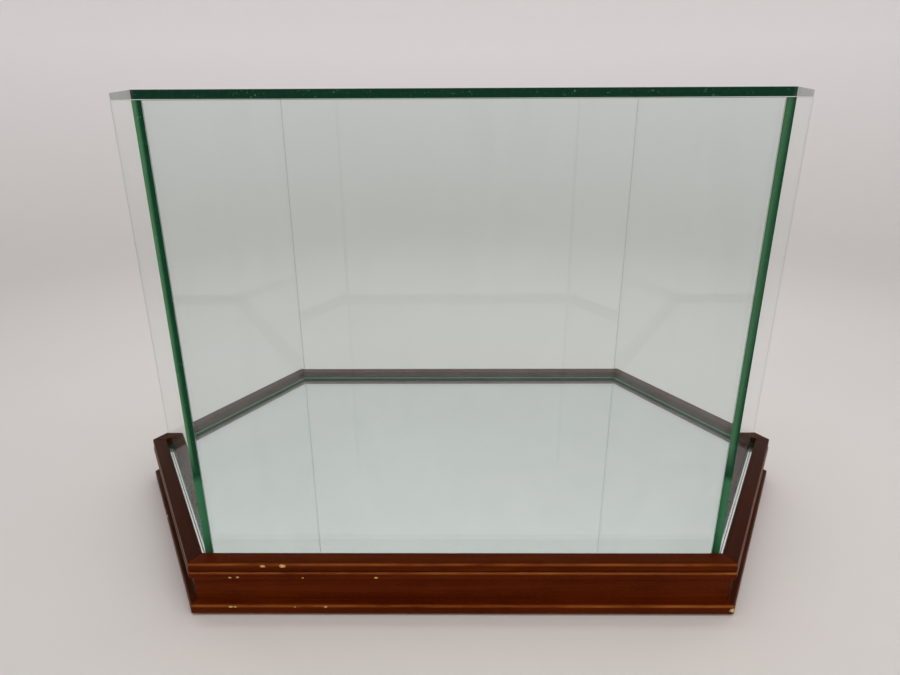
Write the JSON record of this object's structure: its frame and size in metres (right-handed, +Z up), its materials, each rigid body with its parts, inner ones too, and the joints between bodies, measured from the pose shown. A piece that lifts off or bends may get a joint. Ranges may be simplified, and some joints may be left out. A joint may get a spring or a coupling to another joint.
{
  "type": "tabletop display case",
  "caption": "Long hexagonal glass display case: loose plate glass cover standing inside the raised rim of a moulded wooden base with a mirror floor.",
  "frame": {"origin": "middle of the footprint, on the surface that the case stands on", "axes": "+X along the long way of the hexagon, to the right as seen from the front; -Y towards the front; +Z up"},
  "size_m": [0.5856, 0.3516, 0.3483],
  "materials": {
    "stained_wood": "satin mahogany stain and varnish",
    "board": "raw plywood",
    "mirror": "silvered glass",
    "plate_glass": "clear float glass with green edges",
    "screw_steel": "zinc plated",
    "nail_steel": "plain",
    "felt": "pressed felt"
  },
  "bodies": {
    "base": {"rail_front": "stained_wood", "rail_front_right": "stained_wood", "rail_back_right": "stained_wood", "rail_back": "stained_wood", "rail_back_left": "stained_wood", "rail_front_left": "stained_wood", "base_board": "board", "mirror_floor": "mirror", "screw_front_rail_left": "screw_steel", "screw_front_rail_right": "screw_steel", "screw_front_right_rail": "screw_steel", "screw_back_right_rail": "screw_steel", "screw_back_rail_left": "screw_steel", "screw_back_rail_right": "screw_steel", "screw_back_left_rail": "screw_steel", "screw_front_left_rail": "screw_steel", "v_nail_front_right": "nail_steel", "v_nail_right": "nail_steel", "v_nail_back_right": "nail_steel", "v_nail_back_left": "nail_steel", "v_nail_left": "nail_steel", "v_nail_front_left": "nail_steel", "foot_pad_front_right": "felt", "foot_pad_right": "felt", "foot_pad_back_right": "felt", "foot_pad_back_left": "felt", "foot_pad_left": "felt", "foot_pad_front_left": "felt"},
    "cover": {"glass_front": "plate_glass", "glass_front_right": "plate_glass", "glass_back_right": "plate_glass", "glass_back": "plate_glass", "glass_back_left": "plate_glass", "glass_front_left": "plate_glass", "glass_top": "plate_glass"}
  },
  "joints": [
    {"name": "cover_lift", "type": "slide", "parent": "base", "child": "cover", "axis": [0, 0, 1], "range_m": [0, 0.35]}
  ]
}
